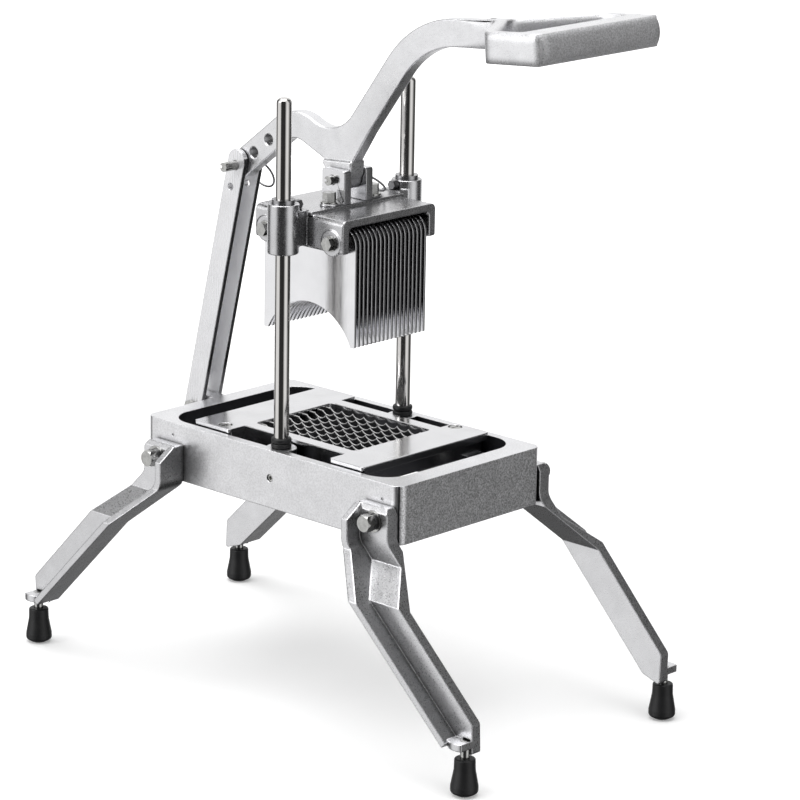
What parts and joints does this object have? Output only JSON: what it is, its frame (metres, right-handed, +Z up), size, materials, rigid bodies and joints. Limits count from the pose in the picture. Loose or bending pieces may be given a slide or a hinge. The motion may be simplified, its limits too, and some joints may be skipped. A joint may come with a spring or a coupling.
{
  "type": "manual vegetable slicer",
  "caption": "Lever-operated vegetable slicer: a push head with finger plates slides down two guide rods through a fixed blade grid in a cast base on splayed legs.",
  "frame": {"origin": "on the table plane, below the middle of the machine's bounding box", "axes": "+X towards the handle end, +Y to the right of a person at the handle, +Z up"},
  "size_m": [0.531, 0.2806, 0.5971],
  "materials": {
    "cast_aluminium": "tumbled and lightly polished casting",
    "machined_aluminium": "milled and buffed",
    "link_steel": "brushed along its length",
    "rod_steel": "ground and polished",
    "bush_metal": "turned",
    "blade_steel": "polished stainless",
    "fastener_steel": "bright turned",
    "black_rubber": "moulded"
  },
  "bodies": {
    "base": {"base_frame": "cast_aluminium", "leg_front_left": "cast_aluminium", "leg_front_right": "cast_aluminium", "leg_rear_left": "cast_aluminium", "leg_rear_right": "cast_aluminium", "leg_bolts": "fastener_steel", "leg_washers": "fastener_steel", "leg_spring_washers": "fastener_steel", "leg_nuts": "fastener_steel", "foot_studs": "fastener_steel", "foot_front_left": "black_rubber", "foot_front_right": "black_rubber", "foot_rear_left": "black_rubber", "foot_rear_right": "black_rubber", "guide_rod_left": "rod_steel", "guide_rod_right": "rod_steel", "rod_set_screws": "fastener_steel", "rod_bumpers": "black_rubber", "blade_frame": "machined_aluminium", "upper_blades": "blade_steel", "lower_blades": "blade_steel", "blade_pins": "fastener_steel", "frame_screws": "fastener_steel", "frame_screw_nuts": "fastener_steel", "link_foot_pin": "fastener_steel", "link_foot_clip": "fastener_steel"},
    "head": {"head_casting": "cast_aluminium", "guide_bushings": "bush_metal", "bushing_screws": "fastener_steel", "clevis_ears": "machined_aluminium", "clevis_bolts": "fastener_steel", "clevis_washers": "fastener_steel", "clevis_pin": "fastener_steel", "clevis_pin_ring": "fastener_steel", "pusher_plates": "machined_aluminium", "plate_spacers": "fastener_steel", "plate_bolts": "fastener_steel", "plate_bolt_washers": "fastener_steel", "plate_bolt_nuts": "fastener_steel"},
    "lever": {"lever": "cast_aluminium"},
    "link": {"link": "link_steel", "link_pin": "fastener_steel", "link_pin_ring": "fastener_steel"}
  },
  "joints": [
    {"name": "head_slide", "type": "slide", "parent": "base", "child": "head", "axis": [0, 0, -1], "range_m": [0, 0.145]},
    {"name": "lever_pivot", "type": "hinge", "parent": "head", "child": "lever", "pos_m": [-0.005, 0, 0.437], "axis": [0, 1, 0], "range_deg": [0, 69.3]},
    {"name": "link_pivot", "type": "hinge", "parent": "lever", "child": "link", "pos_m": [-0.124, 0, 0.4305], "axis": [0, 1, 0], "range_deg": [-50, 0]}
  ],
  "couplings": [
    {"joint": "lever_pivot", "follows": "head_slide", "rad_per_m": 8.3202},
    {"joint": "link_pivot", "follows": "head_slide", "rad_per_m": -6.0006}
  ]
}
